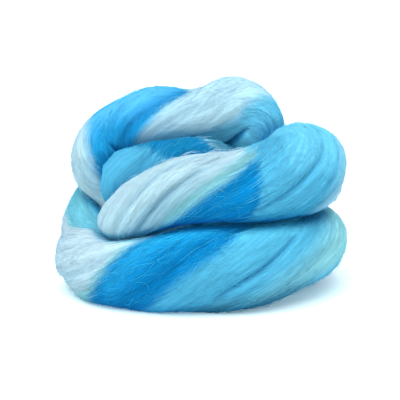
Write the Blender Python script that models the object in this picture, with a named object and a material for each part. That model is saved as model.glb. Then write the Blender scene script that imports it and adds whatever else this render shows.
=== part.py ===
"""Wool roving: one thick, loosely twisted strand of combed wool, wound by hand into a small nest.

The strand is a single piece with no core, tie or label.  It starts under the top turn at the back, drops to
the left, makes the lower turn on the table, crosses inside the nest, makes the middle turn, loops round at the
right, rises at the back, arches over the nest as the top turn, doubles back at the left and dives into the
middle, where it ends.

Units are metres, +Z is up, the front of the nest faces -Y, and the origin is on the table under its middle.
"""

import math

import bmesh
import bpy
import numpy as np

MM = 0.001

# Driving dimensions, in millimetres and degrees.
TURN_GAP = 0.7          # air left between turns that press on each other
CONTACT_ROUNDING = 5.0  # how softly a pressed face rolls into a free one
BEND_CROWDING = 0.9     # share of a bend's radius that the fibres on its inner side may fill
NEAR_REACH = 42.0       # length of strand that counts as one stretch, for bends
LOBES = 5               # slivers drawn together in the strand
LOBE_DEPTH = 0.025      # how far they stand out, as a share of the strand's radius
RING_STEP = 5.4         # length of strand between two cross-sections
ROUTE_STEPS = 4000      # fine steps along the route, for measuring its length
OUT_OF_REACH = 1e9      # room where no turn faces a point
JOINED = 1e-6           # metres between two points that are one
TWIST_START = 9.7       # station where the twist is counted from
COLUMNS = 36            # faces round the strand, each running along the fibres
NEST_MIDDLE = np.array([0.0, -3.03, 0.8])  # point of the route's own space put at the origin: 0.8 is pressed flat

# The strand's route.  Each row is a station: the centre x, y, z, the radius, and the pitch of the twist there.
ROUTE = np.array([
    # x      y      z      radius  pitch
    (12.0,  45.0,  50.5,   14.5,   190.0),   # 0 outer end, tucked under the top turn
    (-3.0,  45.0,  51.5,   16.0,   190.0),
    (-19.0, 42.0,  50.5,   17.5,   190.0),
    (-38.5, 32.0,  45.0,   18.5,   190.0),
    (-51.0, 20.0,  37.0,   18.8,   190.0),
    (-55.0,  6.5,  27.5,   18.0,   190.0),   # 5 down at the left
    (-58.2, -8.0,  19.5,   17.2,   180.0),
    (-53.3, -22.5, 17.5,   18.0,   170.0),
    (-38.5, -36.0, 18.5,   19.5,   170.0),
    (-20.0, -43.5, 20.5,   21.0,   170.0),
    (2.0,   -45.5, 21.5,   22.0,   180.0),   # 10 front of the lower turn
    (24.0,  -42.5, 22.2,   21.4,   190.0),
    (42.5,  -32.0, 25.2,   18.8,   190.0),
    (54.0,  -14.5, 25.2,   18.8,   190.0),
    (56.3,   5.0,  25.0,   19.3,   190.0),
    (50.0,  23.0,  22.5,   19.0,   190.0),   # 15 right, at the back
    (35.0,  35.0,  19.5,   18.5,   190.0),
    (16.0,  39.0,  18.2,   18.0,   190.0),
    (-2.0,  32.0,  17.8,   19.0,   190.0),
    (-11.0, 18.0,  19.0,   19.5,   190.0),
    (-18.0,  2.0,  22.5,   19.0,   190.0),   # 20 crossing inside the nest
    (-28.0, -14.0, 29.0,   17.0,   190.0),
    (-38.0, -27.0, 37.0,   16.2,   190.0),
    (-33.0, -36.0, 45.8,   16.2,   180.0),
    (-17.5, -41.0, 55.6,   18.4,   180.0),
    (0.0,   -42.0, 59.5,   18.8,   180.0),   # 25 front of the middle turn
    (18.0,  -40.5, 60.4,   19.6,   190.0),
    (35.0,  -32.0, 61.4,   20.8,   190.0),
    (48.5,  -17.0, 62.2,   22.3,   190.0),
    (53.0,    1.0, 63.8,   22.0,   190.0),
    (50.0,   19.0, 60.5,   20.5,   180.0),   # 30 loop at the right
    (42.5,   33.0, 57.5,   18.5,   160.0),
    (32.8,   40.5, 60.5,   17.5,   140.0),
    (27.5,   42.0, 71.0,   19.0,   300.0),
    (21.2,   41.5, 82.4,   20.6,   300.0),
    (5.0,    33.0, 86.0,   16.4,   300.0),   # 35 top turn, over the nest
    (-11.0,  19.0, 86.4,   15.7,   170.0),
    (-27.0,  13.0, 85.5,   16.8,   120.0),
    (-42.0,  16.0, 77.2,   17.0,   150.0),
    (-51.0,  14.0, 69.2,   16.5,   220.0),
    (-51.5,   9.0, 61.0,   15.5,   220.0),   # 40 doubling back at the left
    (-47.0,   5.0, 53.7,   14.0,   220.0),
    (-39.5,   0.0, 49.1,   13.5,   120.0),
    (-36.0,  -9.0, 52.0,   14.0,   120.0),
    (-37.0, -13.0, 59.0,   15.2,   120.0),
    (-28.5, -10.0, 61.4,   16.0,   120.0),   # 45 inner turn
    (-14.0,  -4.0, 64.2,   16.0,   120.0),
    (0.0,     1.0, 61.5,   16.5,   120.0),
    (13.0,    3.0, 53.7,   17.5,   120.0),
    (20.0,    1.0, 42.0,   20.0,   120.0),
    (18.0,   -1.0, 30.0,   20.5,   120.0),   # 50 inner end, in the middle of the nest
    (12.0,   -3.0, 19.0,   18.5,   120.0),
])
END_ROUNDING = 13.0     # length over which each torn end tapers to nothing

# Creases where one sliver folds over the next.  Each row is the first and last station, the place round the strand
# in degrees of twist, the depth in mm and the half width in degrees.
CREASES = (
    # from   to    place   depth  half width
    (0.5,   5.5,   150.0,  1.8,   12.0),   # outer end and left shoulder
    (1.5,   6.5,   235.0,  1.8,   12.0),
    (2.0,   7.0,    80.0,  1.6,   12.0),
    (5.5,   9.5,   311.0,  1.3,   12.0),   # lower turn
    (8.3,  12.0,    28.0,  1.6,   12.0),
    (9.5,  13.0,    97.0,  2.4,   10.0),
    (10.5, 15.5,   164.0,  1.4,   12.0),
    (11.8, 14.5,   122.0,  2.6,   12.0),
    (12.0, 17.5,   225.0,  2.0,   12.0),
    (14.5, 19.5,   300.0,  2.0,   12.0),
    (16.0, 21.0,    20.0,  1.8,   12.0),
    (22.2, 25.2,   213.0,  2.2,   10.0),   # middle turn
    (22.6, 25.8,   254.0,  2.4,   10.0),
    (23.0, 26.6,   297.0,  1.5,   12.0),
    (24.5, 29.0,   100.0,  1.8,   12.0),
    (26.0, 29.0,   356.0,  2.2,   10.0),   # loop at the right
    (27.0, 30.5,    33.0,  2.2,   10.0),
    (28.5, 33.0,   120.0,  2.0,   12.0),
    (29.5, 34.0,   205.0,  2.0,   12.0),
    (30.5, 34.5,   300.0,  1.8,   12.0),
    (35.2, 38.5,   110.0,  1.6,   12.0),   # top turn
    (34.6, 38.2,   238.0,  2.8,   14.0),
    (34.5, 39.5,    15.0,  1.8,   12.0),
    (36.5, 40.5,   336.0,  1.4,   12.0),
    (43.5, 47.5,    98.0,  1.5,   12.0),   # inner turn
    (44.0, 49.0,   165.0,  1.5,   12.0),
    (44.5, 49.5,   330.0,  1.5,   12.0),
)


def smooth_route(rows, step):
    """Points every `step` mm along a natural cubic spline through the stations, each with its station number."""
    centres = rows[:, :3]
    knots = np.concatenate([[0.0], np.cumsum(np.linalg.norm(np.diff(centres, axis=0), axis=1))])
    gaps = np.diff(knots)
    count = len(rows)
    system = np.eye(count)
    target = np.zeros_like(rows)
    slopes = np.diff(rows, axis=0) / gaps[:, None]
    for i in range(1, count - 1):
        system[i, i - 1:i + 2] = gaps[i - 1], 2 * (gaps[i - 1] + gaps[i]), gaps[i]
        target[i] = 6 * (slopes[i] - slopes[i - 1])
    bends = np.linalg.solve(system, target)

    def at(distance):
        i = np.clip(np.searchsorted(knots, distance, side="right") - 1, 0, count - 2)
        left = ((knots[i + 1] - distance) / gaps[i])[:, None]
        right = 1 - left
        curve = gaps[i][:, None] ** 2 / 6
        values = left * rows[i] + right * rows[i + 1]
        values = values + curve * ((left ** 3 - left) * bends[i] + (right ** 3 - right) * bends[i + 1])
        return values, i + right[:, 0]

    fine = np.linspace(0, knots[-1], ROUTE_STEPS)
    values, _ = at(fine)
    length = np.concatenate([[0.0], np.cumsum(np.linalg.norm(np.diff(values[:, :3], axis=0), axis=1))])
    rings = max(2, round(length[-1] / step))
    even = np.linspace(0, length[-1], rings + 1)
    values, stations = at(np.interp(even, length, fine))
    return values, stations, even


def frames_along(centres):
    """For each point, the way the strand runs and two ways across it, carried along without turning round it."""
    along = np.gradient(centres, axis=0)
    along /= np.linalg.norm(along, axis=1)[:, None]
    outward = np.zeros_like(along)
    across = np.cross(along[0], [0.0, 0.0, 1.0])
    for i in range(len(along)):
        across = across - np.dot(across, along[i]) * along[i]
        across /= np.linalg.norm(across)
        outward[i] = across
    return along, outward, np.cross(outward, along)


def soft_least(a, b, rounding):
    """The lesser of a and b, rounded off where they meet."""
    share = np.clip(0.5 + 0.5 * (b - a) / rounding, 0, 1)
    return b * (1 - share) + a * share - rounding * share * (1 - share)


def room_around(centres, radii, even, directions):
    """How far each ray from the centre line may reach before the next turn, or the inside of a bend, is met."""
    room = np.full(directions.shape[:2], OUT_OF_REACH)
    for i in range(len(centres)):
        between = centres[i] - centres
        apart = np.einsum("ij,ij->i", between, between)
        facing = directions[i] @ between.T
        near = np.abs(even - even[i]) < NEAR_REACH
        slack = np.where(near, 0.0, radii - radii[i] + TURN_GAP)
        share = np.where(near, BEND_CROWDING, 1.0)
        closing = slack - facing
        with np.errstate(divide="ignore", invalid="ignore"):
            reach = np.where(closing > 0, share * (apart - slack ** 2) / (2 * closing), OUT_OF_REACH)
        reach[:, i] = OUT_OF_REACH
        room[i] = reach.min(axis=1)
    return room


def strand_surface(step, columns):
    """Rows of points round the strand, from end to end, each column following the fibres."""
    values, stations, even = smooth_route(ROUTE, step)
    centres, radii, pitch = values[:, :3] - NEST_MIDDLE, values[:, 3], values[:, 4]
    _, outward, upward = frames_along(centres)
    wound = np.concatenate([[0.0], np.cumsum(np.diff(even) * 360 / ((pitch[1:] + pitch[:-1]) / 2))])
    wound -= np.interp(TWIST_START, stations, wound)
    phases = np.linspace(0, 360, columns + 1)
    angles = np.radians(phases[None, :] - wound[:, None])
    directions = np.cos(angles)[..., None] * upward[:, None] + np.sin(angles)[..., None] * outward[:, None]
    ends = np.minimum(even, even[-1] - even) / END_ROUNDING
    taper = np.sqrt(np.clip(1 - (1 - np.clip(ends, 0, 1)) ** 2, 0, 1))
    free = radii[:, None] * (1 + LOBE_DEPTH * np.cos(np.radians(LOBES * phases)))[None, :]
    for first, last, place, depth, half_width in CREASES:
        fading = np.sin(np.pi * np.clip((stations - first) / (last - first), 0, 1)) ** 0.5
        across = np.exp(-(((phases - place + 180) % 360 - 180) / half_width) ** 2)
        free = free - depth * fading[:, None] * across[None, :]
    room = room_around(centres, radii, even, directions)
    reach = soft_least(free, room, CONTACT_ROUNDING) * taper[:, None]
    points = centres[:, None] + reach[..., None] * directions
    points[..., 2] = np.maximum(points[..., 2], 0)
    return points, stations, phases


def build_roving(collection):
    """The strand as a grid rolled up round its route, closed along the seam and at both torn ends."""
    points, _, _ = strand_surface(RING_STEP, COLUMNS)
    rings = len(points) - 1
    shape = bmesh.new()
    bmesh.ops.create_grid(shape, x_segments=rings, y_segments=COLUMNS, size=0.5)
    for vertex in shape.verts:
        ring = round((vertex.co.x + 0.5) * rings)
        column = round((vertex.co.y + 0.5) * COLUMNS)
        vertex.co = points[ring, column] * MM
    bmesh.ops.remove_doubles(shape, verts=shape.verts, dist=JOINED)
    bmesh.ops.recalc_face_normals(shape, faces=shape.faces)
    mesh = bpy.data.meshes.new("roving")
    shape.to_mesh(mesh)
    shape.free()
    mesh.shade_smooth()
    roving = bpy.data.objects.new("roving", mesh)
    collection.objects.link(roving)
    return roving


def wool():
    """Dyed combed wool: matt, sky blue on the whole."""
    material = bpy.data.materials.new("dyed_wool")
    material.use_nodes = True
    surface = material.node_tree.nodes["Principled BSDF"]
    surface.inputs["Base Color"].default_value = (0.12, 0.45, 0.75, 1)
    surface.inputs["Roughness"].default_value = 0.85
    surface.inputs["Metallic"].default_value = 0.0
    return material


def main():
    for old in list(bpy.data.objects):
        bpy.data.objects.remove(old)
    collection = bpy.data.collections.new("wool_roving")
    bpy.context.scene.collection.children.link(collection)
    roving = build_roving(collection)
    roving.data.materials.append(wool())


main()
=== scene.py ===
"""Looks of a wool roving: one strand of dyed combed wool wound into a nest, with its fibres and fuzz."""

import math

import bmesh
import bpy
import numpy as np
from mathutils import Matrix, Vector


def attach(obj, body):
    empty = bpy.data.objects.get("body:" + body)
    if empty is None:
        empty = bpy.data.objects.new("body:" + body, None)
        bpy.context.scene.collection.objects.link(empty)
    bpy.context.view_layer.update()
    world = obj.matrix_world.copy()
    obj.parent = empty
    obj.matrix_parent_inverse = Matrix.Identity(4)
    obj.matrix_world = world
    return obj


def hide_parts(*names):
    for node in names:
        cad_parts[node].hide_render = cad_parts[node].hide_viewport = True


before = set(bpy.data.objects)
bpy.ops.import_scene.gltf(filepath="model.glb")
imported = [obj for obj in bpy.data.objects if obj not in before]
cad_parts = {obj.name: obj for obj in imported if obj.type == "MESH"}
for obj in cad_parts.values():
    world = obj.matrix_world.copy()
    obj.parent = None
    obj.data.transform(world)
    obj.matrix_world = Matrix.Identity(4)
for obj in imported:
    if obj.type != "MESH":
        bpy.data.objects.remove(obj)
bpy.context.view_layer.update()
scene = bpy.context.scene

# Camera: a long lens at the front of the nest, a little above it, so that its turns show one above another
# and the hollow between them is seen into.
VIEW_WIDTH = 0.208       # metres across the view, at the nest
VIEW_DISTANCE = 0.9      # metres from the nest to the lens
VIEW_ELEVATION = math.radians(12)
LOOKED_AT = Vector((-0.0005, 0.00303, 0.0452))
SENSOR = 36.0

camera = bpy.data.objects.new("camera", bpy.data.cameras.new("camera"))
scene.collection.objects.link(camera)
camera.data.sensor_width = SENSOR
camera.data.lens = SENSOR * VIEW_DISTANCE / VIEW_WIDTH
backwards = Vector((0, -math.cos(VIEW_ELEVATION), math.sin(VIEW_ELEVATION)))
camera.location = LOOKED_AT + backwards * VIEW_DISTANCE
camera.rotation_euler = (-backwards).to_track_quat("-Z", "Y").to_euler()
scene.camera = camera

# Studio: an even white surround, one very broad soft light from above and a little to the left, and a white
# floor that takes a faint shadow.  The floor's faint blue tint and glow are painted light: they lighten that
# shadow and tint it blue.
SURROUND = 1.12
FLOOR_SIZE = 8.0         # metres along each side
SUN_STRENGTH = 2.4
SUN_SPREAD = math.radians(50)
SUN_FROM = Vector((-0.15, -0.60, 1.0))

world = bpy.data.worlds.new("surround")
world.use_nodes = True
world.node_tree.nodes["Background"].inputs["Color"].default_value = (1, 1, 1, 1)
world.node_tree.nodes["Background"].inputs["Strength"].default_value = SURROUND
scene.world = world
scene.view_settings.view_transform = "Standard"

sun = bpy.data.objects.new("sun", bpy.data.lights.new("sun", "SUN"))
sun.data.energy = SUN_STRENGTH
sun.data.angle = SUN_SPREAD
sun.location = SUN_FROM
sun.rotation_euler = (-SUN_FROM).to_track_quat("-Z", "Y").to_euler()
scene.collection.objects.link(sun)

shape = bmesh.new()
bmesh.ops.create_grid(shape, x_segments=1, y_segments=1, size=FLOOR_SIZE / 2)
floor_mesh = bpy.data.meshes.new("floor")
shape.to_mesh(floor_mesh)
shape.free()
floor = bpy.data.objects.new("floor", floor_mesh)
scene.collection.objects.link(floor)
white = bpy.data.materials.new("white_floor")
white.use_nodes = True
matt = white.node_tree.nodes["Principled BSDF"]
matt.inputs["Base Color"].default_value = (0.74, 0.83, 0.84, 1)
matt.inputs["Emission Color"].default_value = (0.55, 0.9, 1.0, 1)
matt.inputs["Emission Strength"].default_value = 0.25
matt.inputs["Roughness"].default_value = 0.9
floor.data.materials.append(white)

# The strand: a thick rope of combed wool with hardly any twist, wound by hand without a core.  It starts
# under the top turn at the back, drops to the left, makes the lower turn, crosses inside, makes the middle
# turn and the loop at the right, rises at the back to the top turn, doubles back at the left and ends inside.
MM = 0.001
TURN_GAP = 0.7          # air left between turns that press on each other, in mm
CONTACT_ROUNDING = 8.0  # how softly a pressed face rolls into a free one
BEND_CROWDING = 0.9     # share of a bend's radius that the fibres on its inner side may fill
NEAR_REACH = 42.0       # length of strand that counts as one stretch, for bends
LOBES = 5               # slivers drawn together in the strand
LOBE_DEPTH = 0.025      # how far they stand out, as a share of the strand's radius
RING_STEP = 1.8         # length of strand between two cross-sections
ROUTE_STEPS = 4000      # fine steps along the route, for measuring its length
OUT_OF_REACH = 1e9      # room where no turn faces a point
JOINED = 1e-6           # metres between two points that are one
TWIST_START = 9.7       # station where the degrees of twist are counted from
COLUMNS = 120           # faces round the strand, each running along the fibres
NEST_MIDDLE = np.array([0.0, -3.03, 0.8])   # taken off the route, to stand the nest on the table
END_ROUNDING = 13.0     # length over which each torn end tapers to nothing
RIDGE_LEVEL = 0.7       # share of a sliver's ridge that lies below the strand's own surface
MOST_OPEN = 1.5         # room round a point, in strand radii, past which more makes no difference

# The strand's route in mm.  Each row is a station: its centre, the radius, and the pitch of the twist there.
ROUTE = np.array([
    # x      y      z      radius  pitch
    (12.0,  45.0,  50.5,   14.5,   190.0),   # 0 outer end, tucked under the top turn
    (-3.0,  45.0,  51.5,   16.0,   190.0),
    (-19.0, 42.0,  50.5,   17.5,   190.0),
    (-38.5, 32.0,  45.0,   18.5,   190.0),
    (-51.0, 20.0,  37.0,   18.8,   190.0),
    (-55.0,  6.5,  27.5,   18.0,   190.0),   # 5 down at the left
    (-58.2, -8.0,  19.5,   17.2,   180.0),
    (-53.3, -22.5, 17.2,   18.2,   170.0),
    (-38.5, -36.5, 17.9,   20.0,   170.0),
    (-20.0, -44.2, 20.1,   21.8,   170.0),
    (2.0,   -45.5, 21.8,   22.5,   180.0),   # 10 front of the lower turn
    (24.0,  -42.5, 22.4,   21.7,   190.0),
    (42.5,  -32.0, 25.2,   18.8,   190.0),
    (54.0,  -14.5, 25.2,   18.8,   190.0),
    (56.3,   5.0,  25.0,   19.3,   190.0),
    (50.0,  23.0,  22.5,   19.0,   190.0),   # 15 right, at the back
    (35.0,  35.0,  19.5,   18.5,   190.0),
    (16.0,  39.0,  18.2,   18.0,   190.0),
    (-2.0,  32.0,  17.8,   19.0,   190.0),
    (-11.0, 18.0,  19.0,   19.5,   190.0),
    (-18.0,  2.0,  22.5,   19.0,   190.0),   # 20 crossing inside the nest
    (-28.0, -14.0, 29.0,   17.0,   190.0),
    (-37.0, -27.0, 36.6,   15.7,   190.0),
    (-32.2, -36.0, 45.2,   15.7,   180.0),
    (-17.0, -41.0, 55.0,   17.5,   180.0),
    (0.0,   -42.0, 59.3,   17.9,   180.0),   # 25 front of the middle turn
    (18.0,  -40.5, 60.3,   19.0,   190.0),
    (35.0,  -32.0, 61.4,   20.8,   190.0),
    (48.5,  -17.0, 62.2,   22.3,   190.0),
    (53.0,    1.0, 63.8,   22.0,   190.0),
    (50.0,   19.0, 60.5,   20.5,   180.0),   # 30 loop at the right
    (42.5,   33.0, 57.5,   18.5,   160.0),
    (32.8,   40.5, 60.5,   17.5,   140.0),
    (27.5,   42.0, 71.0,   19.0,   300.0),
    (21.2,   41.5, 82.4,   20.6,   300.0),
    (5.0,    33.0, 86.0,   16.4,   300.0),   # 35 top turn, over the nest
    (-11.0,  19.0, 86.4,   15.7,   170.0),
    (-27.0,  13.0, 85.5,   16.8,   120.0),
    (-42.0,  16.0, 77.2,   17.0,   150.0),
    (-51.0,  14.0, 69.2,   16.5,   220.0),
    (-51.5,   9.0, 61.0,   15.5,   220.0),   # 40 doubling back at the left
    (-47.0,   5.0, 53.7,   14.0,   220.0),
    (-39.5,   0.0, 49.1,   13.5,   120.0),
    (-36.0,  -9.0, 52.0,   14.0,   120.0),
    (-37.0, -13.0, 59.0,   15.2,   120.0),
    (-28.5, -10.0, 61.4,   16.0,   120.0),   # 45 inner turn
    (-14.0,  -4.0, 64.2,   16.0,   120.0),
    (0.0,     1.0, 61.5,   16.5,   120.0),
    (13.0,    3.0, 53.7,   17.5,   120.0),
    (20.0,    1.0, 42.0,   20.0,   120.0),
    (18.0,   -1.0, 30.0,   20.5,   120.0),   # 50 inner end, in the middle of the nest
    (12.0,   -3.0, 19.0,   18.5,   120.0),
])

# Creases where one sliver folds over the next.  Each row is the first and last station, the place round the
# strand in degrees of twist, the depth in mm and the half width in degrees.
CREASES = (
    # from   to    place   depth  half width
    (0.5,   5.5,   150.0,  1.8,   8.0),   # outer end and left shoulder
    (1.5,   6.5,   235.0,  1.8,   8.0),
    (2.0,   7.0,    80.0,  1.6,   8.0),
    (5.5,   9.5,   311.0,  1.0,   8.0),   # lower turn
    (8.3,  12.0,    28.0,  1.6,   8.0),
    (10.1, 11.9,   109.0,  3.4,   5.0),
    (10.5, 15.5,   164.0,  1.4,   8.0),
    (11.8, 14.5,   122.0,  1.0,   8.0),
    (12.0, 17.5,   225.0,  2.0,   8.0),
    (14.5, 19.5,   300.0,  2.0,   8.0),
    (16.0, 21.0,    20.0,  1.8,   8.0),
    (22.3, 25.2,   228.0,  1.7,   6.0),   # middle turn
    (22.5, 25.6,   271.0,  2.5,   6.0),
    (23.0, 26.6,   304.0,  1.0,   8.0),
    (24.5, 29.0,   100.0,  1.8,   8.0),
    (25.9, 28.4,    25.0,  2.8,   5.0),   # loop at the right
    (27.2, 28.9,    62.0,  1.2,   6.0),
    (28.5, 33.0,   120.0,  2.0,   8.0),
    (29.5, 34.0,   205.0,  2.0,   8.0),
    (30.5, 34.5,   300.0,  1.8,   8.0),
    (35.2, 38.5,   110.0,  1.4,   8.0),   # top turn
    (34.6, 38.2,   238.0,  3.2,  14.0),
    (34.5, 39.5,    15.0,  1.8,   8.0),
    (36.5, 40.5,   336.0,  1.2,   8.0),
    (43.5, 47.5,    98.0,  1.5,   8.0),   # inner turn
    (44.0, 49.0,   165.0,  1.5,   8.0),
    (44.5, 49.5,   330.0,  1.5,   8.0),
)

# Low ridges of the single slivers: how many lie round the strand, their height in mm, and how far each
# wanders round the strand as it runs along, in degrees over how many mm.
SLIVERS = (
    # round  height  wander  over
    (9,      0.20,   14.0,   120.0),
    (16,     0.13,   10.0,   75.0),
    (27,     0.08,   6.0,    48.0),
)


def smooth_route(rows, step):
    """Points every `step` mm along a smooth curve through the stations, each with its station number."""
    centres = rows[:, :3]
    knots = np.concatenate([[0.0], np.cumsum(np.linalg.norm(np.diff(centres, axis=0), axis=1))])
    gaps = np.diff(knots)
    count = len(rows)
    system = np.eye(count)
    target = np.zeros_like(rows)
    slopes = np.diff(rows, axis=0) / gaps[:, None]
    for i in range(1, count - 1):
        system[i, i - 1:i + 2] = gaps[i - 1], 2 * (gaps[i - 1] + gaps[i]), gaps[i]
        target[i] = 6 * (slopes[i] - slopes[i - 1])
    bends = np.linalg.solve(system, target)

    def at(distance):
        i = np.clip(np.searchsorted(knots, distance, side="right") - 1, 0, count - 2)
        left = ((knots[i + 1] - distance) / gaps[i])[:, None]
        right = 1 - left
        curve = gaps[i][:, None] ** 2 / 6
        values = left * rows[i] + right * rows[i + 1]
        values = values + curve * ((left ** 3 - left) * bends[i] + (right ** 3 - right) * bends[i + 1])
        return values, i + right[:, 0]

    fine = np.linspace(0, knots[-1], ROUTE_STEPS)
    values, _ = at(fine)
    length = np.concatenate([[0.0], np.cumsum(np.linalg.norm(np.diff(values[:, :3], axis=0), axis=1))])
    rings = max(2, round(length[-1] / step))
    even = np.linspace(0, length[-1], rings + 1)
    values, stations = at(np.interp(even, length, fine))
    return values, stations, even


def ways_across(centres):
    """Two ways across the strand at each point of its route, carried along it without turning round it."""
    along = np.gradient(centres, axis=0)
    along /= np.linalg.norm(along, axis=1)[:, None]
    outward = np.zeros_like(along)
    across = np.cross(along[0], [0.0, 0.0, 1.0])
    for i in range(len(along)):
        across = across - np.dot(across, along[i]) * along[i]
        across /= np.linalg.norm(across)
        outward[i] = across
    return outward, np.cross(outward, along)


def soft_least(a, b, rounding):
    """The lesser of a and b, rounded off where they meet."""
    share = np.clip(0.5 + 0.5 * (b - a) / rounding, 0, 1)
    return b * (1 - share) + a * share - rounding * share * (1 - share)


def room_around(centres, radii, even, directions):
    """How far each ray from the centre line reaches before it meets the next turn or the inside of a bend."""
    room = np.full(directions.shape[:2], OUT_OF_REACH)
    for i in range(len(centres)):
        between = centres[i] - centres
        apart = np.einsum("ij,ij->i", between, between)
        facing = directions[i] @ between.T
        near = np.abs(even - even[i]) < NEAR_REACH
        slack = np.where(near, 0.0, radii - radii[i] + TURN_GAP)
        share = np.where(near, BEND_CROWDING, 1.0)
        closing = slack - facing
        with np.errstate(divide="ignore", invalid="ignore"):
            reach = share * (apart - slack ** 2) / (2 * closing)
        reach = np.where(closing > 0, reach, OUT_OF_REACH)
        reach[:, i] = OUT_OF_REACH
        room[i] = reach.min(axis=1)
    return room


values, stations, run = smooth_route(ROUTE, RING_STEP)
centres, radii, pitch = values[:, :3] - NEST_MIDDLE, values[:, 3], values[:, 4]
outward, upward = ways_across(centres)
wound = np.concatenate([[0.0], np.cumsum(np.diff(run) * 360 / ((pitch[1:] + pitch[:-1]) / 2))])
wound -= np.interp(TWIST_START, stations, wound)
phases = np.linspace(0, 360, COLUMNS + 1)
angles = np.radians(phases[None, :] - wound[:, None])
directions = np.cos(angles)[..., None] * upward[:, None] + np.sin(angles)[..., None] * outward[:, None]
ends = np.minimum(run, run[-1] - run) / END_ROUNDING
taper = np.sqrt(np.clip(1 - (1 - np.clip(ends, 0, 1)) ** 2, 0, 1))
free = radii[:, None] * (1 + LOBE_DEPTH * np.cos(np.radians(LOBES * phases)))[None, :]
folded = np.zeros_like(free)
for first, last, place, depth, half_width in CREASES:
    fading = np.sin(np.pi * np.clip((stations - first) / (last - first), 0, 1)) ** 0.5
    apart = (phases - place + 180) % 360 - 180
    folded = folded + depth * fading[:, None] * np.exp(-(apart / half_width) ** 2)[None, :]
free = free - folded
for number, (around, height, wander, over) in enumerate(SLIVERS):
    swing = wander * np.sin(2 * np.pi * run / over + number)
    ridge = np.abs(np.cos(np.radians(around * (phases[None, :] + swing[:, None])) / 2 + number))
    free = free + height * (ridge - RIDGE_LEVEL)
room = room_around(centres, radii, run, directions)
reach = soft_least(free, room, CONTACT_ROUNDING) * taper[:, None]
skin = centres[:, None] + reach[..., None] * directions
skin[..., 2] = np.maximum(skin[..., 2], 0)
openness = np.clip(room / free, 0, MOST_OPEN)
rings = len(skin) - 1

# Painted shade and light, multiplied into the wool's colour.  Where turns are pressed together or on the
# table, wool that faces down is painted darker, and so is the wool at the bottom of a fold and right where
# two turns meet.  On the lower turn, wool that faces up beside the middle turn is painted lighter.
PAINTED_SHADE_KEPT = (0.10, 0.50, 0.74)   # how much red, green and blue wool keeps under the full painted shade
SHADE_REACH = 0.6         # how far out the shade fades, in strand radii
SHADE_CURVE = 0.7         # below 1, it fades quickest close to the place that is touched
DOWN_LEAST = 0.25         # the shade of wool that faces sideways
DOWN_SLOPE = 1.2          # how fast it grows as the wool turns down
FOLD_SHADE = 0.13         # painted shade at the bottom of a fold, for each mm of its depth
PAINTED_SHADE_STATIONS = (7.5, 9.5, 21.5, 22.5, 24.0, 31.0, 33.0)   # stations, and how strong the painted shade is there
PAINTED_SHADE_STRENGTH = (0.1, 1.0, 1.0, 0.2, 1.0, 1.0, 0.0)
CREVICE_PAINTED_SHADE = (0.45, 0.80, 0.95)   # how much of each colour wool keeps under the painted shade right where two turns meet
CREVICE_REACH = 0.12      # how far out that reaches, in strand radii
SPARED_SHADE = 0.7          # how much of that painted crevice shade is left off on the middle turn
SPARED_SHADE_STATIONS = (23.3, 24.0, 26.3, 27.0)   # where that sets in, is full, still is, and has faded
PAINTED_LIGHT = 1.1          # how much painted light goes on wool that faces up beside another turn
PAINTED_LIGHT_TINT = (0.45, 0.55, 0.42)       # the red, green and blue of that painted light
PAINTED_LIGHT_STATIONS = (7.5, 9.5, 11.5, 13.0)      # where that painted light sets in, is full, still is, and has faded
UP_SLOPE = 1.5            # how fast it grows as the wool turns up
SET_IN_AND_FADED = (0, 1, 1, 0)
LEVEL = 1e-3              # the least slope of a ray that still meets the table
LIGHTEST = 0.95           # the lightest any colour gets
above_table = centres[:, None, 2] / np.maximum(-directions[..., 2], LEVEL) / free
nearness = np.clip((np.minimum(openness, above_table) - 1) / SHADE_REACH, 0, 1) ** SHADE_CURVE
facing_down = np.clip(DOWN_LEAST - DOWN_SLOPE * directions[..., 2], 0, 1)
painted_shade = (1 - nearness) * facing_down * np.interp(stations, PAINTED_SHADE_STATIONS, PAINTED_SHADE_STRENGTH)[:, None]
painted_shade = np.clip(painted_shade + FOLD_SHADE * folded, 0, 1)
facing_up = np.clip(UP_SLOPE * directions[..., 2], 0, 1)
# painted light: wool that faces up close beside another turn is made lighter
painted_light = PAINTED_LIGHT * (1 - np.clip((openness - 1) / SHADE_REACH, 0, 1) ** SHADE_CURVE) * facing_up
painted_light = painted_light * np.interp(stations, PAINTED_LIGHT_STATIONS, SET_IN_AND_FADED)[:, None]
spared_shade = SPARED_SHADE * np.interp(stations, SPARED_SHADE_STATIONS, SET_IN_AND_FADED)[:, None]
painted_crevice_shade = np.clip(1 - (openness - 1) / CREVICE_REACH, 0, 1) * (1 - spared_shade)
# shade: what each colour is multiplied by, the painted shade and the painted light together
shade = 1 - painted_shade[..., None] * (1 - np.array(PAINTED_SHADE_KEPT)) + painted_light[..., None] * np.array(PAINTED_LIGHT_TINT)
shade *= 1 - painted_crevice_shade[..., None] * (1 - np.array(CREVICE_PAINTED_SHADE))

# Dyes: the strand was drawn from dyed slivers, so each colour keeps its place round the strand and winds with
# the twist.  A band is a dye and the places where it starts and ends, in degrees of twist, at one station
# after another.  A later band lies over an earlier one.  Some bands are painted shade, darker colours set
# under and between the turns and inside the nest, and one is a painted highlight along the top of the top
# turn.
BAND_RUNOUT = 0.15      # stations over which a band sets in and fades out
PALE = (0.38, 0.525, 0.585)
ICE = (0.35, 0.515, 0.575)
# painted shade: the pale ice colour darkened, on the low side of the middle turn, the doubled-back end and
# inside the inner turn
PAINTED_SHADE_ICE = (0.24, 0.41, 0.49)
FROST = (0.365, 0.585, 0.68)
LIGHT_FROST = (0.46, 0.71, 0.80)
MINT = (0.21, 0.48, 0.52)
LIGHT_MINT = (0.26, 0.61, 0.67)
TEAL = (0.13, 0.43, 0.53)
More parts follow.
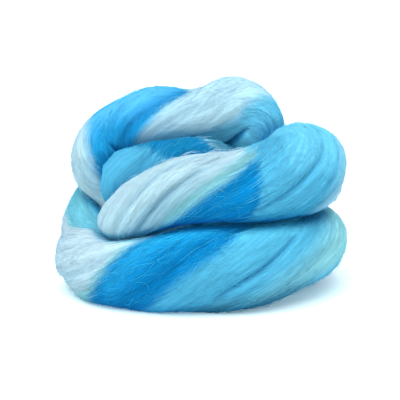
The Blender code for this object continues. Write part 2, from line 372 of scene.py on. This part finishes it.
# painted shade: a dark teal, in the hollow at the lower left, under the lower turn by the table and on the
# inner end
PAINTED_SHADE_TEAL = (0.06, 0.20, 0.28)
SKY = (0.076, 0.37, 0.555)
LIGHT_SKY = (0.13, 0.50, 0.70)
# painted shade: a darker sky, under the middle turn at the right and on the inner turn
SHADY_SKY = (0.065, 0.33, 0.52)
# painted shade: a deep sky, where the lower turn meets the middle one, under the middle and top turns, and
# inside the nest
PAINTED_SHADE_DEEP_SKY = (0.02, 0.22, 0.38)
BRIGHT = (0.001, 0.175, 0.425)
SOFT_BRIGHT = (0.010, 0.25, 0.52)
# painted highlight: a lighter bright blue along the top of the top turn
PAINTED_HIGHLIGHT_BRIGHT = (0.08, 0.40, 0.70)
DEEP_BRIGHT = (0.004, 0.165, 0.36)
BANDS = (
    # dye, blur of its edges in degrees, (station, start, end) ...
    (TEAL, 8, ((0, 145, 210), (7.0, 145, 210))),
    # painted shade in the hollow at the lower left
    (PAINTED_SHADE_TEAL, 14, ((4.4, 90, 130), (4.8, 90, 136), (5.2, 90, 138), (5.8, 90, 128), (6.6, 90, 118))),
    (LIGHT_MINT, 45, ((10.8, 150, 160), (11.2, 146, 172), (11.7, 152, 186), (12.3, 152, 205),
                      (13.0, 145, 235), (14.0, 155, 255), (18.0, 155, 255))),
    # painted shade on the underside of the lower turn, by the table
    (PAINTED_SHADE_TEAL, 22, ((9.6, 108, 150), (10.6, 130, 175), (11.1, 153, 200), (11.5, 171, 225),
                     (12.0, 197, 250), (12.4, 218, 260))),
    # painted shade where the lower turn meets the middle one
    (PAINTED_SHADE_DEEP_SKY, 16, ((12.2, 84, 96), (12.6, 88, 106), (13.0, 92, 106), (13.2, 96, 102))),
    (PALE, 8, ((0, 204, 318), (5.0, 204, 337), (7.0, 204, 357), (7.6, 204, 355), (8.2, 204, 318),
               (9.5, 204, 318), (11.0, 257, 318), (15.0, 257, 318), (18.0, 257, 318))),
    (MINT, 14, ((6.5, 345, 377), (7.6, 342, 369), (8.2, 310, 337), (8.8, 310, 325))),
    (BRIGHT, 16, ((0, 347, 402), (7.3, 366, 437), (7.6, 357, 432), (7.9, 340, 427), (8.3, 322, 423),
                  (8.8, 316, 424), (8.95, 310, 420), (9.1, 302, 415), (9.4, 284, 409), (9.8, 280, 411),
                  (10.2, 280, 413), (10.6, 280, 407), (11.3, 284, 382), (12.5, 290, 372),
                  (18.0, 290, 372))),
    (SOFT_BRIGHT, 30, ((8.0, 340, 385), (8.6, 322, 360), (9.2, 305, 350), (9.8, 295, 366),
                       (10.6, 295, 370), (11.2, 295, 350))),
    # painted shade on the crossing inside the nest
    (PAINTED_SHADE_DEEP_SKY, 8, ((18.2, 0, 358), (21.3, 0, 358))),
    (ICE, 8, ((21.5, 150, 306), (23.0, 130, 306), (24.0, 170, 302), (24.7, 190, 304), (25.5, 190, 299),
              (26.0, 190, 292), (26.25, 190, 280))),
    # painted shade, darker towards the bottom of the middle turn's pale front
    (PAINTED_SHADE_ICE, 22, ((22.0, 250, 310), (23.0, 244, 310), (23.5, 250, 308), (24.0, 264, 303), (24.6, 274, 296),
                (25.2, 284, 288))),
    (MINT, 12, ((20.0, 300, 320), (23.0, 302, 320), (24.2, 296, 319), (25.0, 299, 321), (25.7, 294, 317),
                (26.2, 285, 307), (26.4, 284, 296))),
    # painted shade under the middle turn at the right
    (SHADY_SKY, 50, ((26.4, 285, 300), (26.8, 290, 322), (27.2, 305, 325))),
    (BRIGHT, 16, ((18.2, 322, 425), (24.2, 317, 425), (25.0, 322, 425), (25.7, 316, 425),
                  (26.0, 311, 420), (26.15, 306, 388), (26.3, 306, 340))),
    # painted shade on the middle turn's underside
    (PAINTED_SHADE_DEEP_SKY, 26, ((26.0, 396, 460), (26.4, 404, 470), (26.7, 412, 480), (27.0, 422, 490),
                    (27.4, 434, 500), (28.0, 450, 500))),
    (LIGHT_SKY, 40, ((27.0, 335, 360), (27.6, 325, 385), (28.3, 310, 440), (29.0, 300, 480),
                     (31.5, 300, 480))),
    (FROST, 60, ((27.5, 458, 530), (28.2, 445, 540), (29.5, 435, 560), (31.0, 435, 560))),
    # painted shade on the top turn's underside
    (PAINTED_SHADE_DEEP_SKY, 26, ((33.0, 10, 40), (33.5, 10, 40), (34.5, 10, 46), (35.4, 10, 70), (36.0, 10, 95))),
    # lighter sky dye, carried down into the fold under the top turn as painted light that lifts the shade
    # there
    (LIGHT_SKY, 30, ((33.0, 62, 150), (34.0, 60, 150), (34.6, 58, 150), (35.0, 66, 150), (35.4, 82, 150),
                     (35.8, 112, 150))),
    (FROST, 24, ((33.9, 166, 290), (34.1, 149, 290), (34.4, 136, 290), (34.8, 127, 290), (35.2, 131, 290),
                 (35.6, 134, 266), (35.75, 137, 254), (35.9, 138, 243), (36.1, 138, 232),
                 (36.6, 138, 229), (36.8, 138, 222), (37.1, 138, 214), (37.6, 138, 210),
                 (42.0, 138, 210))),
    (LIGHT_FROST, 30, ((34.6, 118, 140), (35.5, 128, 160), (36.5, 135, 178), (37.3, 150, 205))),
    (BRIGHT, 8, ((27.0, 180, 260), (33.4, 180, 262))),
    (SOFT_BRIGHT, 16, ((35.2, 290, 300), (35.6, 266, 330), (35.75, 254, 345), (35.9, 243, 355),
                       (36.1, 232, 365), (36.6, 229, 370), (36.8, 222, 370), (37.1, 214, 370),
                       (37.6, 210, 370), (38.3, 212, 360), (38.6, 220, 349), (38.8, 225, 342),
                       (39.0, 225, 337), (39.3, 225, 333), (39.6, 225, 333), (39.9, 225, 336),
                       (40.2, 225, 339), (40.5, 225, 348), (42.5, 225, 350))),
    # painted highlight along the top of the top turn
    (PAINTED_HIGHLIGHT_BRIGHT, 40, ((35.4, 285, 330), (36.0, 250, 330), (36.6, 244, 340), (37.2, 250, 350),
                      (37.6, 280, 360), (38.2, 315, 360), (38.6, 325, 360), (39.2, 330, 350))),
    (ICE, 22, ((37.9, 384, 440), (38.3, 370, 440), (38.6, 355, 440), (38.8, 345, 440), (39.0, 340, 440),
               (39.3, 337, 440), (39.6, 337, 440), (39.9, 342, 440), (40.2, 347, 440), (40.5, 358, 440),
               (42.8, 360, 440))),
    # painted shade on the doubled-back end at the left
    (PAINTED_SHADE_ICE, 30, ((39.8, 325, 365), (40.2, 325, 372), (40.6, 325, 388), (41.2, 325, 400),
                (42.5, 325, 400))),
    (DEEP_BRIGHT, 16, ((39.7, 290, 325), (40.1, 285, 340), (40.6, 280, 350), (42.5, 280, 350))),
    # painted shade on the inner turn
    (SHADY_SKY, 20, ((43.0, 60, 200), (44.5, 60, 200), (45.2, 60, 230), (45.8, 150, 260))),
    (DEEP_BRIGHT, 18, ((44.7, 90, 120), (45.0, 90, 135), (45.3, 95, 175), (45.6, 110, 222),
                       (46.0, 130, 260), (46.4, 150, 280), (46.6, 199, 290), (46.75, 222, 300),
                       (46.9, 236, 310), (47.1, 254, 320), (48.0, 270, 330), (51.0, 270, 330))),
    # painted shade on the inner end, where it goes down into the nest
    (PAINTED_SHADE_TEAL, 10, ((46.85, 195, 216), (47.0, 200, 232), (47.15, 205, 250), (47.6, 205, 265),
                     (48.8, 205, 270))),
    # painted shade on a pale sliver of the inner turn
    (PAINTED_SHADE_ICE, 6, ((46.3, 168, 184), (46.6, 182, 199), (46.75, 205, 220), (46.9, 224, 238), (47.05, 244, 256),
               (47.2, 256, 266))),
    # painted shade on the inner end, inside the nest
    (PAINTED_SHADE_DEEP_SKY, 8, ((48.8, 0, 358), (53.0, 0, 358))),
)

# Streaks in the dye: how many lie round the strand, how strong each is, how far it wanders, over how many mm.
STREAK_OFFSET = 1.7     # sets each kind of streak off from the one before
STREAKS = (
    (5,  0.04, 30.0, 160.0),
    (11, 0.04, 20.0, 110.0),
    (23, 0.04, 12.0, 70.0),
    (47, 0.04, 7.0,  45.0),
)


def dyed_and_painted(stations, places, distance, raggedness):
    """The wool's colour at those stations and degrees of twist: bands of dye, painted shade and painted
    highlight with ragged edges, and streaks.
    """
    colour = np.ones(stations.shape + (3,)) * SKY
    for dye, blur, edges in BANDS:
        at, low, high = np.array(edges, float).T
        start, stop = np.interp(stations, at, low), np.interp(stations, at, high)
        apart = np.abs((places + raggedness - (start + stop) / 2 + 180) % 360 - 180)
        inside = np.clip(((stop - start) / 2 - apart) / blur + 0.5, 0, 1)
        begun = np.clip(np.minimum(stations - at[0], at[-1] - stations) / BAND_RUNOUT + 0.5, 0, 1)
        share = (inside * begun)[..., None]
        colour = colour * (1 - share) + share * dye
    tone = np.zeros(stations.shape)
    for number, (around, strength, wander, over) in enumerate(STREAKS):
        swing = wander * np.sin(2 * np.pi * distance / over + STREAK_OFFSET * number)
        tone = tone + strength * np.cos(np.radians(around * (places + swing)) + number)
    return colour * np.exp(tone)[..., None]


def put_attribute(mesh, name, kind, values):
    """Writes a value for every vertex: a colour or a vector."""
    layer = mesh.attributes.new(name, kind, "POINT")
    values = np.asarray(values, np.float32)
    if kind == "FLOAT_COLOR":
        opaque = np.ones(len(values), np.float32)
        layer.data.foreach_set("color", np.column_stack([values, opaque]).ravel())
    else:
        layer.data.foreach_set("vector", values.ravel())


def wool(name, shade, streak):
    """Matt combed wool: the dye and painted light and shade of each place, darker or lighter in thin streaks
    along the fibres.
    """
    material = bpy.data.materials.new(name)
    material.use_nodes = True
    nodes, links = material.node_tree.nodes, material.node_tree.links
    surface = nodes["Principled BSDF"]
    surface.inputs["Roughness"].default_value = 0.9
    surface.inputs["Specular IOR Level"].default_value = 0.02
    surface.inputs["Sheen Weight"].default_value = 0.18
    surface.inputs["Sheen Roughness"].default_value = 0.5
    surface.inputs["Sheen Tint"].default_value = (0.05, 0.45, 0.8, 1)
    # The wool glows faintly in its own colour: painted light, standing in for light that passes through the
    # fibres.
    surface.inputs["Emission Strength"].default_value = 0.1
    # The dye attribute holds each place's dye with the painted shade and light multiplied in.
    dye = nodes.new("ShaderNodeAttribute")
    dye.attribute_name = "dye"
    lay = nodes.new("ShaderNodeAttribute")
    lay.attribute_name = "lay"
    noise = nodes.new("ShaderNodeTexNoise")
    noise.inputs["Scale"].default_value = 1.0
    noise.inputs["Detail"].default_value = 3.0
    noise.inputs["Roughness"].default_value = 0.6
    spread = nodes.new("ShaderNodeMapRange")
    spread.inputs["From Min"].default_value = 0.3
    spread.inputs["From Max"].default_value = 0.7
    spread.inputs["To Min"].default_value = shade - streak
    spread.inputs["To Max"].default_value = shade + streak
    tone = nodes.new("ShaderNodeVectorMath")
    tone.operation = "SCALE"
    links.new(lay.outputs["Vector"], noise.inputs["Vector"])
    links.new(noise.outputs["Fac"], spread.inputs["Value"])
    links.new(dye.outputs["Color"], tone.inputs[0])
    links.new(spread.outputs["Result"], tone.inputs["Scale"])
    links.new(tone.outputs["Vector"], surface.inputs["Base Color"])
    links.new(tone.outputs["Vector"], surface.inputs["Emission Color"])
    return material, noise


STREAKS_ROUND = 28.0     # how fast the thin streaks change round the strand, and along each mm of it
STREAKS_ALONG = 0.09


def lay_of(ring, place):
    """Room for the streaks: fast across the fibres, slow along them, the same on both sides of the seam."""
    turn = np.radians(place)
    along = np.interp(ring, np.arange(rings + 1), run) * STREAKS_ALONG
    return np.stack([STREAKS_ROUND * np.cos(turn), STREAKS_ROUND * np.sin(turn), along], axis=-1)


shape = bmesh.new()
bmesh.ops.create_grid(shape, x_segments=rings, y_segments=COLUMNS, size=0.5)
strand_mesh = bpy.data.meshes.new("strand")
shape.to_mesh(strand_mesh)
shape.free()
flat = np.empty(len(strand_mesh.vertices) * 3)
strand_mesh.vertices.foreach_get("co", flat)
flat = flat.reshape(-1, 3)
ring = np.round((flat[:, 0] + 0.5) * rings).astype(int)
column = np.round((flat[:, 1] + 0.5) * COLUMNS).astype(int)
strand_mesh.vertices.foreach_set("co", (skin[ring, column] * MM).ravel())
# The strand's colour: its dye times the painted shade and light, kept in the dye attribute.
colours = np.clip(dyed_and_painted(stations[ring], phases[column], run[ring], 0.0) * shade[ring, column], 0, LIGHTEST)
put_attribute(strand_mesh, "dye", "FLOAT_COLOR", colours)
put_attribute(strand_mesh, "lay", "FLOAT_VECTOR", lay_of(ring, phases[column]))
shape = bmesh.new()
shape.from_mesh(strand_mesh)
bmesh.ops.remove_doubles(shape, verts=shape.verts, dist=JOINED)
bmesh.ops.recalc_face_normals(shape, faces=shape.faces)
shape.to_mesh(strand_mesh)
shape.free()
strand_mesh.shade_smooth()
strand = bpy.data.objects.new("strand", strand_mesh)
scene.collection.objects.link(strand)
combed, streaks = wool("combed_wool", 0.9, 0.07)
bump = combed.node_tree.nodes.new("ShaderNodeBump")
bump.inputs["Strength"].default_value = 0.3
bump.inputs["Distance"].default_value = 0.0004
combed.node_tree.links.new(streaks.outputs["Fac"], bump.inputs["Height"])
combed_surface = combed.node_tree.nodes["Principled BSDF"]
combed.node_tree.links.new(bump.outputs["Normal"], combed_surface.inputs["Normal"])
strand.data.materials.append(combed)
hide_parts("roving")
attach(strand, "root")

# Combed fibres: long wool fibres that lie side by side on the strand and follow its twist, each with its ends
# tucked in.  Every fibre is a thin three-sided thread, pointed at both ends.
FIBRE_PIECES = 3
FIBRES_EACH = 5800
FIBRE_STEPS = 5          # straight stretches in each thread
FIBRE_HALF = (6, 17)     # half of a fibre's length, in mm
FIBRE_THICK = (0.09, 0.16)   # half of its thickness, in mm
STRAIGHT_SHARE = 0.7     # share of the fibres that keep close to the twist
STRAIGHT_SLANT = 5.0     # how far those run askew of it, in degrees, and how far the others do
STRAY_SLANT = 18.0
CRIMP = 0.22             # how far a fibre wavers from side to side, in mm
RAISED = (2.0, 0.10)     # shape and scale of how high the fibres stand, in mm
TUCKED = 0.3             # how deep their ends lie
UNEVEN = 0.05            # how far they waver up and down, in mm
RAGGED = 4.0             # degrees that a fibre's dye may lie off its place, and stations along
RAGGED_ALONG = 0.15
UNDYED = (0.06, 0.52, 0.80)   # wool that took little dye
UNDYED_SHARE = 0.07      # how little dye a fibre took, mostly and at the most
MOST_UNDYED = 0.6
THREAD_SPACING = 4.0     # room for each thread while they lie in a row, to be bent
SKIN_SHARE = 0.7         # how far the light falls on a fibre as on the whole surface under it
COLUMN_WIDTH = 1.0       # mm round the strand from one column to the next
ABOVE_TABLE = 0.05       # mm that a fibre stays clear of the table
COVERED = 0.82           # room round a point, in strand radii, where fibres start to show
BARE_OVER = 0.1          # how much more room it takes until all of them do
WHOLE = 0.5              # how much of the strand's thickness an end has where fibres start
chance = np.random.default_rng(11)

along_rings = np.gradient(skin, axis=0)
padded = np.concatenate([skin[:, -2:-1], skin, skin[:, 1:2]], axis=1)
around_columns = padded[:, 2:] - padded[:, :-2]
proud = np.cross(along_rings, around_columns)
proud /= np.maximum(np.linalg.norm(proud, axis=2), 1e-12)[..., None]
proud *= np.sign(np.einsum("ijk,ijk->ij", proud, directions))[..., None]


def on_strand(grid, ring, column):
    """The grid's value at ring and column numbers that need not be whole."""
    low = np.clip(np.floor(ring).astype(int), 0, rings - 1)
    left = np.floor(column).astype(int)
    up, over = ring - low, column - left
    left, right = left % COLUMNS, (left + 1) % COLUMNS
    if grid.ndim == 3:
        up, over = up[..., None], over[..., None]
    near = grid[low, left] * (1 - over) + grid[low, right] * over
    far = grid[low + 1, left] * (1 - over) + grid[low + 1, right] * over
    return near * (1 - up) + far * up


def threads(name, count, steps):
    """One thread cut into steps and pointed at both ends, then set out count times in a row along X."""
    shape = bmesh.new()
    bmesh.ops.create_cone(shape, cap_ends=False, segments=3, radius1=1, radius2=1, depth=1)
    lengthways = [edge for edge in shape.edges if abs(edge.verts[0].co.z - edge.verts[1].co.z) > 0.5]
    bmesh.ops.subdivide_edges(shape, edges=lengthways, cuts=steps - 1)
    for tip in (-0.5, 0.5):
        rim = [vertex for vertex in shape.verts if abs(vertex.co.z - tip) < 0.01]
        bmesh.ops.pointmerge(shape, verts=rim, merge_co=(0, 0, tip))
    mesh = bpy.data.meshes.new(name)
    shape.to_mesh(mesh)
    shape.free()
    one = bpy.data.objects.new(name, mesh)
    scene.collection.objects.link(one)
    row = one.modifiers.new("row", "ARRAY")
    row.count = count
    row.use_relative_offset = False
    row.use_constant_offset = True
    row.constant_offset_displace = (THREAD_SPACING, 0, 0)
    bpy.context.view_layer.update()
    one.data = bpy.data.meshes.new_from_object(one.evaluated_get(bpy.context.evaluated_depsgraph_get()))
    one.modifiers.clear()
    bpy.data.meshes.remove(mesh)
    one.data.name = name
    return one


def lay_threads(piece, steps, path, up, thick, colour, lay):
    """Bends each straight thread of the piece along its own path, and gives it its colour."""
    flat = np.empty(len(piece.data.vertices) * 3)
    piece.data.vertices.foreach_get("co", flat)
    flat = flat.reshape(-1, 3)
    thread = np.round(flat[:, 0] / THREAD_SPACING).astype(int)
    step = np.round((flat[:, 2] + 0.5) * steps).astype(int)
    heading = np.gradient(path, axis=1)
    sideways = np.cross(up, heading)
    sideways /= np.maximum(np.linalg.norm(sideways, axis=2), 1e-12)[..., None]
    sideward = (flat[:, 0] - THREAD_SPACING * thread)[:, None] * sideways[thread, step]
    upward = flat[:, 1][:, None] * up[thread, step]
    placed = path[thread, step] + thick[thread][:, None] * (sideward + upward)
    placed[:, 2] = np.maximum(placed[:, 2], ABOVE_TABLE)
    piece.data.vertices.foreach_set("co", (placed * MM).ravel())
    put_attribute(piece.data, "dye", "FLOAT_COLOR", colour[thread, step])
    put_attribute(piece.data, "lay", "FLOAT_VECTOR", lay[thread, step])
    round_ways = sideward + upward
    softened = SKIN_SHARE * up[thread, step] + (1 - SKIN_SHARE) * round_ways
    softened /= np.maximum(np.linalg.norm(softened, axis=1), 1e-12)[:, None]
    piece.data.shade_smooth()
    piece.data.normals_split_custom_set_from_vertices(softened)


bare = np.clip((openness[:, :-1] - COVERED) / BARE_OVER, 0, 1) * radii[:, None] * (taper[:, None] > WHOLE)
bare_share = np.cumsum(bare.ravel())
fibre_wool, _ = wool("fibre_wool", 1.0, 0.08)


def thread_dyed_and_painted(ring, column, shift, ahead, undyed):
    """The dye along each thread, as on the sliver it was combed from, less the share never taken up, with
    painted shade and light.
    """
    at = np.interp(ring, np.arange(rings + 1), stations)
    along = np.interp(ring, np.arange(rings + 1), run)
    colour = dyed_and_painted(at + ahead, column * 360 / COLUMNS, along, shift)
    colour = colour + undyed[:, None, None] * np.maximum(np.array(UNDYED) - colour, 0)
    return np.clip(colour * on_strand(shade, ring, column), 0, LIGHTEST)


for number in range(FIBRE_PIECES):
    piece = threads(f"combed_fibres_{number + 1}", FIBRES_EACH, FIBRE_STEPS)
    spot = np.searchsorted(bare_share, chance.uniform(0, bare_share[-1], FIBRES_EACH))
    middle_ring, middle_column = spot // COLUMNS, spot % COLUMNS + chance.uniform(0, 1, FIBRES_EACH)
    half = chance.uniform(*FIBRE_HALF, FIBRES_EACH)[:, None]
    t = np.linspace(-1, 1, FIBRE_STEPS + 1)[None, :]
    ring = np.clip(middle_ring[:, None] + half * t / RING_STEP, 1, rings - 1)
    straight = chance.uniform(0, 1, FIBRES_EACH) < STRAIGHT_SHARE
    spread = np.where(straight, STRAIGHT_SLANT, STRAY_SLANT)
    slant = np.tan(np.radians(chance.normal(0, 1, FIBRES_EACH) * spread))[:, None]
    crimp = chance.normal(0, CRIMP, ring.shape)
    column = middle_column[:, None] + (slant * half * t + crimp) / COLUMN_WIDTH
    raised = chance.gamma(*RAISED, FIBRES_EACH)[:, None]
    arch = np.sqrt(np.clip(1 - t ** 2, 0, 1))
    lift = -TUCKED + (raised + TUCKED) * arch + chance.normal(0, UNEVEN, ring.shape)
    up = on_strand(proud, ring, column)
    path = on_strand(skin, ring, column) + up * lift[..., None]
    shift = chance.normal(0, RAGGED, (FIBRES_EACH, 1))
    ahead = chance.normal(0, RAGGED_ALONG, (FIBRES_EACH, 1))
    undyed = np.clip(chance.exponential(UNDYED_SHARE, FIBRES_EACH), 0, MOST_UNDYED)
    colour = thread_dyed_and_painted(ring, column, shift, ahead, undyed)
    thick = chance.uniform(*FIBRE_THICK, FIBRES_EACH)
    lay_threads(piece, FIBRE_STEPS, path, up, thick, colour, lay_of(ring, column * 360 / COLUMNS))
    piece.data.materials.append(fibre_wool)
    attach(piece, "root")

# Loose fibres: crimped wool fibres that lie across the combed ones or stand a little off them, as rubbed wool
# does.  Each one curls on its way, and both its ends are caught in the strand.
LOOSE_PIECES = 2
LOOSE_EACH = 3600
LOOSE_STEPS = 8
LOOSE_LENGTH = (5, 15)   # in mm
LOOSE_THICK = (0.05, 0.10)
LOOSE_SLANT = 0.45       # how far they set out askew of the twist, in radians
CURL = 0.24              # how far each stretch turns from the one before, in radians
LOOSE_RAISED = (1.3, 0.5)   # shape and scale of how high they stand, in mm
HIGHEST = 2.0            # mm that a fibre may stand off the strand
LOOSE_TUCKED = 0.2       # how deep their ends lie, in mm
ARCHED = 0.6             # below 1, they stand up steeply from their ends
LOOSE_RAGGED = 6.0       # degrees that a fibre's dye may lie off its place
LOOSE_UNDYED = 0.22      # how little dye a fibre took, mostly and at the most
LOOSE_MOST_UNDYED = 0.8

for number in range(LOOSE_PIECES):
    piece = threads(f"loose_fibres_{number + 1}", LOOSE_EACH, LOOSE_STEPS)
    spot = np.searchsorted(bare_share, chance.uniform(0, bare_share[-1], LOOSE_EACH))
    first_ring, first_column = spot // COLUMNS, spot % COLUMNS + chance.uniform(0, 1, LOOSE_EACH)
    t = np.linspace(0, 1, LOOSE_STEPS + 1)[None, :]
    length = chance.uniform(*LOOSE_LENGTH, (LOOSE_EACH, 1))
    turned = np.cumsum(chance.normal(0, CURL, (LOOSE_EACH, LOOSE_STEPS + 1)), axis=1)
    heading = chance.normal(0, LOOSE_SLANT, (LOOSE_EACH, 1)) + turned
    step = length / LOOSE_STEPS
    ring = first_ring[:, None] + np.cumsum(np.cos(heading) * step, axis=1) / RING_STEP
    ring = np.clip(ring, 1, rings - 1)
    column = first_column[:, None] + np.cumsum(np.sin(heading) * step, axis=1) / COLUMN_WIDTH
    high = np.clip(chance.gamma(*LOOSE_RAISED, (LOOSE_EACH, 1)), 0, HIGHEST)
    lift = -LOOSE_TUCKED + (high + LOOSE_TUCKED) * np.sin(np.pi * t) ** ARCHED
    up = on_strand(proud, ring, column)
    path = on_strand(skin, ring, column) + up * lift[..., None]
    shift = chance.normal(0, LOOSE_RAGGED, (LOOSE_EACH, 1))
    undyed = np.clip(chance.exponential(LOOSE_UNDYED, LOOSE_EACH), 0, LOOSE_MOST_UNDYED)
    colour = thread_dyed_and_painted(ring, column, shift, 0.0, undyed)
    thick = chance.uniform(*LOOSE_THICK, LOOSE_EACH)
    lay_threads(piece, LOOSE_STEPS, path, up, thick, colour, lay_of(ring, column * 360 / COLUMNS))
    piece.data.materials.append(fibre_wool)
    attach(piece, "root")

# Fuzz: short and thin ends of wool fibres that the comb left standing, all over the strand.  They are caught
# at one end, stand up at the other, and soften the strand's outline.
FUZZ = 8400
FUZZ_STEPS = 4
FUZZ_LENGTH = (2, 6)     # in mm
FUZZ_THICK = (0.04, 0.08)
FUZZ_SLANT = 0.6         # how far they set out askew of the twist, and how far they bend, in radians
FUZZ_BEND = 0.5
FUZZ_RAISED = (2.0, 0.5)    # shape and scale of how high they stand, in mm
FUZZ_TUCKED = 0.1        # how deep their roots lie, in mm
FUZZ_UNDYED = 0.2        # how little dye a fibre took, mostly and at the most
FUZZ_MOST_UNDYED = 0.8

piece = threads("fuzz", FUZZ, FUZZ_STEPS)
spot = np.searchsorted(bare_share, chance.uniform(0, bare_share[-1], FUZZ))
first_ring, first_column = spot // COLUMNS, spot % COLUMNS + chance.uniform(0, 1, FUZZ)
t = np.linspace(0, 1, FUZZ_STEPS + 1)[None, :]
length = chance.uniform(*FUZZ_LENGTH, (FUZZ, 1))
heading = chance.normal(0, FUZZ_SLANT, (FUZZ, 1)) + chance.normal(0, FUZZ_BEND, (FUZZ, 1)) * t
turned_back = chance.uniform(0, 1, (FUZZ, 1)) < 0.5
heading = heading + np.pi * turned_back
ring = np.clip(first_ring[:, None] + np.cos(heading) * length * t / RING_STEP, 1, rings - 1)
column = first_column[:, None] + np.sin(heading) * length * t / COLUMN_WIDTH
high = np.clip(chance.gamma(*FUZZ_RAISED, (FUZZ, 1)), 0, HIGHEST)
up = on_strand(proud, ring, column)
path = on_strand(skin, ring, column) + up * (high * np.sin(np.pi * t / 2) - FUZZ_TUCKED)[..., None]
undyed = np.clip(chance.exponential(FUZZ_UNDYED, FUZZ), 0, FUZZ_MOST_UNDYED)
colour = thread_dyed_and_painted(ring, column, 0.0, 0.0, undyed)
thick = chance.uniform(*FUZZ_THICK, FUZZ)
lay_threads(piece, FUZZ_STEPS, path, up, thick, colour, lay_of(ring, column * 360 / COLUMNS))
piece.data.materials.append(fibre_wool)
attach(piece, "root")
